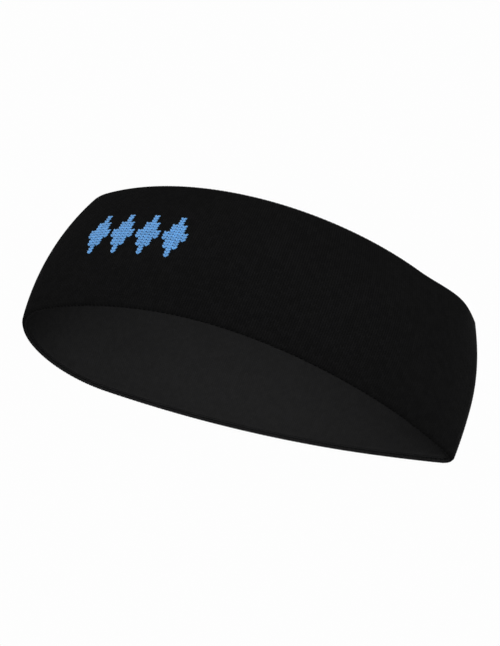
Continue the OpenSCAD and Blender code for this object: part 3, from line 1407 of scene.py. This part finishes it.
@dataclass
class DiamondMotif:
    """The row of small diamonds that is knitted into the front in a second colour."""

    shop: Workshop
    layer: KnitLayer
    nodes: tuple[str, ...] = ("motif_diamond_1", "motif_diamond_2", "motif_diamond_3", "motif_diamond_4")
    reaches: tuple[int, ...] = (2, 2, 1, 1, 1, 0, 0, 0)
    half_width: float = 0.47 * MM
    half_depth: float = 0.32 * MM
    rise: float = 0.1 * MM
    sink: float = 0.16 * MM
    lift: float = 0.22 * MM
    overlap: float = 1.2
    facing_weight: float = 0.01
    seed: int = 20

    def _stitch(self) -> YarnPiece:
        """One V of two legs."""
        leg = self.shop.gauge.wale_pitch / 4
        climb = self.layer.relief.slant * self.layer.outside.length / self.layer.courses / 2
        piece = YarnPiece(sides=10, rings=6)
        for side in (-1, 1):
            first = (side * leg * (1 - self.overlap), -climb * self.overlap)
            last = (side * leg * (1 + self.overlap), climb * self.overlap)
            piece.add_leg(first, last, self.half_width, self.half_depth, self.rise, self.sink)
        return piece

    def _centre(self, node: str) -> tuple[int, int]:
        """The wale and the course nearest to the middle of a packed diamond.

        Args:
            node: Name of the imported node.

        Returns:
            The wale and the course.
        """
        low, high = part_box(node)
        middle = (low + high) / 2
        wales = np.arange(self.layer.wales)
        points = self.shop.loop.at((wales + 0.5) / self.layer.wales * self.shop.loop.length)[0]
        wale = int(np.argmin(np.hypot(points[:, 0] - middle.x, points[:, 1] - middle.y)))
        courses = (np.arange(self.layer.courses) + 0.5) / self.layer.courses * self.layer.outside.length
        _, height, normal_out, _ = self.layer.outside.at(courses)
        inward = np.abs(normal_out - 1.0) * self.facing_weight
        course = int(np.argmin(np.abs(height - middle.z) + inward))
        return wale, course

    def _plan(self, wale: int, course: int) -> StitchPlan:
        """Where the stitches of one diamond go.

        Args:
            wale: Its middle wale.
            course: Its middle course.

        Returns:
            The plan.
        """
        cells = []
        for row in range(1 - len(self.reaches), len(self.reaches)):
            reach = self.reaches[abs(row)]
            cells += [(wale + column + 0.5, course + row + 0.5) for column in range(-reach, reach + 1)]
        wales, courses = np.array(cells).T
        point, normal = self.layer.place(wales, courses)
        ahead = self.layer.place(wales, courses + 0.5)[0] - self.layer.place(wales, courses - 0.5)[0]
        up = ahead / np.linalg.norm(ahead, axis=1)[:, None]
        return StitchPlan(point + normal * self.lift, np.cross(up, normal), up)

    def build(self) -> None:
        """Lays every diamond."""
        for number, node in enumerate(self.nodes, 1):
            plan = self._plan(*self._centre(node))
            name = f"Motif_Diamond_{number}"
            self.shop.sew(name, plan, self._stitch(), Slot.MOTIF, self.seed + number, node)


@dataclass
class CareLabel:
    """The blank satin care label, sewn by its top inside the back wall."""

    shop: Workshop
    width: float = 16 * MM
    thickness: float = 0.24 * MM
    gap: float = 0.12 * MM
    curl: float = 0.9 * MM
    curl_over: float = 20 * MM
    step_from: float = 0.8 * MM
    step_height: float = 1.2 * MM
    columns: int = 33
    rows: int = 62
    blend_above: float = 0.6 * MM
    blend_below: float = 3.6 * MM
    stitches: int = 6
    stitch_half_length: float = 1.0 * MM
    stitch_width: float = 0.22 * MM
    stitch_lift: float = 0.06 * MM
    stitch_rise: float = 0.1 * MM
    stitch_sink: float = 0.3 * MM
    stitch_seed: int = 31
    joint: dict[str, Any] = field(default_factory=lambda: dict(frame["joints"][0]))

    @property
    def fold(self) -> Vector:
        """Where the label folds."""
        return Vector(self.joint["pos_m"])

    def _polar(self) -> tuple[float, float]:
        """The fold's distance and direction from the back wall's centre."""
        centre = self.shop.loop.back.centre
        x, y = self.fold.x - centre[0], self.fold.y - centre[1]
        return math.hypot(x, y), math.atan2(y, x)

    def _line(self, z: np.ndarray) -> np.ndarray:
        """The label's distance from the back wall's centre, at heights from its top to its free end.

        Args:
            z: Heights.

        Returns:
            The distances.
        """
        back, sizes = self.shop.loop.back, self.shop.sizes
        reach, _ = self._polar()
        below = np.clip(self.fold.z - z, 0.0, None)
        flap = reach - self.curl * (below / self.curl_over) ** 2
        tab = back.radius - sizes.wall - sizes.bow(z) - self.gap - self.thickness / 2
        return tab + (flap - tab) * smoothstep((self.fold.z + self.step_from - z) / self.step_height)

    def _points(self, radius: Any, angle: Any, z: Any) -> np.ndarray:
        """Points round the back wall's centre.

        Args:
            radius: Their distances from it.
            angle: Their directions from it.
            z: Their heights.

        Returns:
            Points, as an array that ends in 3.
        """
        centre = self.shop.loop.back.centre
        radius, angle, z = np.broadcast_arrays(radius, angle, z)
        return np.stack([centre[0] + radius * np.cos(angle), centre[1] + radius * np.sin(angle), z], axis=-1)

    def _sheet(self) -> bpy.types.Object:
        """The label as one closed thin sheet."""
        reach, heading = self._polar()
        top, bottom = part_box("label_tab")[1].z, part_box("label_flap")[0].z
        z = np.linspace(top, bottom, self.rows)
        across = np.linspace(-self.width / 2, self.width / 2, self.columns)
        angle, radius = np.meshgrid(heading + across / reach, self._line(z))
        points = self._points(radius, angle, z[:, None])
        row, column = (grid.reshape(-1, 1) for grid in
                       np.meshgrid(np.arange(self.rows - 1), np.arange(self.columns - 1), indexing="ij"))
        rows, columns = row + np.array([0, 0, 1, 1]), column + np.array([0, 1, 1, 0])
        uv = np.stack([across[columns], z[rows]], axis=-1)
        mesh = mesh_of(points.reshape(-1, 3), np.full(len(row), 4),
                       (rows * self.columns + columns).reshape(-1), "Cloth", uv.reshape(-1, 2))
        sheet = new_object("Care_Label_Sheet", mesh)
        solid = sheet.modifiers.new("Thickness", "SOLIDIFY")
        solid.thickness, solid.offset = self.thickness, 0.0
        return plain_mesh(sheet, "Care_Label")

    def _sew(self) -> None:
        """Lays the row of stitches that holds the label's top."""
        low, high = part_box("label_stitches")
        height = (low.z + high.z) / 2
        reach, heading = self._polar()
        row = (np.arange(self.stitches) + 0.5) / self.stitches - 0.5
        angle = heading + row * self.width / reach
        radius = float(self._line(np.array([height]))[0]) - self.thickness / 2 + self.stitch_lift
        outward = np.stack([np.cos(angle), np.sin(angle)], axis=-1)
        stitch = YarnPiece(sides=8, rings=5)
        stitch.add_leg((-self.stitch_half_length, 0.0), (self.stitch_half_length, 0.0), self.stitch_width,
                       self.stitch_width, self.stitch_rise, self.stitch_sink)
        plan = StitchPlan.level(self._points(radius, angle, height), outward)
        self.shop.sew("Care_Label_Stitches", plan, stitch, Slot.THREAD, self.stitch_seed, "label_stitches")

    def build(self) -> None:
        """Builds the label and its stitches."""
        label = self.shop.rack.dress(self._sheet(), Slot.LABEL)
        above, below = self.fold.copy(), self.fold.copy()
        above.z += self.blend_above
        below.z -= self.blend_below
        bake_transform(label)
        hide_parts("label_tab", "label_flap")
        self._sew()


# ---- Studio ------------------------------------------------------------------------------------------


def direction(azimuth: float, elevation: float) -> Vector:
    """The direction from the band towards a place, from its angles in degrees."""
    az, el = math.radians(azimuth), math.radians(elevation)
    return Vector((math.sin(az) * math.cos(el), -math.cos(az) * math.cos(el), math.sin(el)))


@dataclass(frozen=True)
class Viewpoint:
    """Where the camera stands, as angles in degrees and sizes in metres."""

    azimuth: float = 11.63
    elevation: float = -28.73
    roll: float = 21.36
    distance: float = 408.9 * MM
    focal_mm: float = 54.62
    aim_right: float = -0.72 * MM
    aim_up: float = -1.5 * MM

    def place(self, target: Vector) -> bpy.types.Object:
        """Puts the camera in place.

        Args:
            target: What it looks at, before its small offset.

        Returns:
            The camera.
        """
        back, right = direction(self.azimuth, self.elevation), direction(self.azimuth + 90.0, 0.0)
        up = back.cross(right)
        camera = bpy.data.objects.new("Camera", bpy.data.cameras.new("Camera"))
        camera.data.lens = self.focal_mm
        camera.data.clip_start = 1 * MM
        camera.location = target + right * self.aim_right + up * self.aim_up + back * self.distance
        camera.rotation_mode = "QUATERNION"
        tilt = Quaternion((0.0, 0.0, 1.0), math.radians(self.roll))
        camera.rotation_quaternion = (-back).to_track_quat("-Z", "Y") @ tilt
        bpy.context.scene.collection.objects.link(camera)
        bpy.context.scene.camera = camera
        return camera


@dataclass(frozen=True)
class SoftLight:
    """One square area light that looks at the band."""

    name: str
    azimuth: float
    elevation: float
    distance: float
    side: float
    power: float
    misses_floor: bool = False

    def place(self, target: Vector, floor: bpy.types.Object) -> None:
        """Puts the light in place.

        Args:
            target: What it looks at.
            floor: The floor, which some lights leave alone so that it stays even.
        """
        away = direction(self.azimuth, self.elevation)
        data = bpy.data.lights.new(self.name, "AREA")
        data.shape, data.size, data.energy = "SQUARE", self.side, self.power
        lamp = bpy.data.objects.new(self.name, data)
        lamp.location = target + away * self.distance
        lamp.rotation_euler = (-away).to_track_quat("-Z", "Y").to_euler()
        bpy.context.scene.collection.objects.link(lamp)
        if self.misses_floor:
            unlit = bpy.data.collections.new(self.name + "_Misses")
            unlit.objects.link(floor)
            unlit.collection_objects[0].light_linking.link_state = "EXCLUDE"
            lamp.light_linking.receiver_collection = unlit


@dataclass
class Studio:
    """Plain pale floor, soft light and the camera."""

    viewpoint: Viewpoint = Viewpoint()
    backdrop: float = 0.985
    ambient: float = 0.85
    floor_colour: Colour = (0.88, 0.88, 0.87)
    floor_half: float = 30.0
    floor_grain: float = 3.0
    floor_spread: float = 0.02
    floor_fades_from: float = 0.3
    floor_fades_to: float = 2.4
    lights: tuple[SoftLight, ...] = (
        SoftLight("Key_Light", -35.0, 40.0, 1.6, 1.0, 5.0),
        SoftLight("Back_Light", 172.0, 38.0, 1.2, 0.8, 15.0, misses_floor=True),
        SoftLight("Side_Light", 130.0, 20.0, 1.2, 0.8, 9.0, misses_floor=True),
        SoftLight("Under_Light", 10.0, -34.0, 1.2, 1.1, 17.0),
    )

    def _world(self) -> None:
        """A white backdrop that gives even, plain light."""
        world = bpy.data.worlds.new("Plain_Studio")
        graph = Graph.cleared(world)
        seen = graph.node("ShaderNodeLightPath").outputs["Is Camera Ray"]
        strength = graph.fit(seen, self.ambient, self.backdrop)
        light = graph.node("ShaderNodeBackground", {"Color": (1.0, 1.0, 1.0, 1.0), "Strength": strength})
        graph.node("ShaderNodeOutputWorld", {"Surface": light.outputs[0]})
        bpy.context.scene.world = world

    def _floor(self) -> bpy.types.Object:
        """A one-sided floor that runs into the backdrop, and isn't there when it is looked at from below.

        Returns:
            The floor.
        """
        h = self.floor_half
        corners = np.array([[-h, -h, 0.0], [h, -h, 0.0], [h, h, 0.0], [-h, h, 0.0]])
        mesh = mesh_of(corners, np.array([4]), np.arange(4), "Floor", corners[:, :2])
        floor = new_object("Floor", mesh)
        material = bpy.data.materials.new("Pale_Floor")
        graph = Graph.cleared(material)
        place = graph.node("ShaderNodeTexCoord").outputs["Object"]
        grain = graph.node("ShaderNodeTexNoise", {"Vector": place, "Scale": self.floor_grain}).outputs[0]
        shade = graph.fit(grain, 1 - self.floor_spread, 1 + self.floor_spread)
        colour = graph.scaled(self.floor_colour, shade)
        matt = graph.node("ShaderNodeBsdfDiffuse", {"Color": colour})
        away = graph.node("ShaderNodeVectorMath", {0: place}, operation="LENGTH").outputs["Value"]
        fade = graph.node("ShaderNodeMapRange", {"Value": away, "From Min": self.floor_fades_from,
                                                 "From Max": self.floor_fades_to},
                          interpolation_type="SMOOTHSTEP").outputs[0]
        distant = graph.node("ShaderNodeEmission", {"Strength": self.backdrop})
        above = graph.node("ShaderNodeMixShader", {0: fade, 1: matt.outputs[0], 2: distant.outputs[0]})
        clear = graph.node("ShaderNodeBsdfTransparent")
        below = graph.node("ShaderNodeNewGeometry").outputs["Backfacing"]
        mix = graph.node("ShaderNodeMixShader", {0: below, 1: above.outputs[0], 2: clear.outputs[0]})
        graph.node("ShaderNodeOutputMaterial", {"Surface": mix.outputs[0]})
        floor.data.materials.append(material)
        floor.visible_shadow = False
        return floor

    def build(self, target: Vector) -> None:
        """Builds the studio round a target."""
        self._world()
        floor = self._floor()
        for light in self.lights:
            light.place(target, floor)
        self.viewpoint.place(target)
        bpy.context.scene.view_settings.view_transform = "Standard"
        log.info("studio: %d lights", len(self.lights))


def main() -> None:
    """Builds the headband and its studio."""
    logging.basicConfig(level=logging.INFO, format="%(name)s: %(message)s")
    shop = Workshop.open()
    log.info("loop %.1f mm round", shop.loop.length / MM)
    Studio().build(Vector((0.0, 0.0, shop.sizes.height / 2)))
    tube = KnittedTube(shop)
    tube.build()
    ElasticTapes(shop).build()
    SeamThreads(shop).build()
    DiamondMotif(shop, tube.face_layer).build()
    CareLabel(shop).build()


if __name__ == "__main__":
    main()
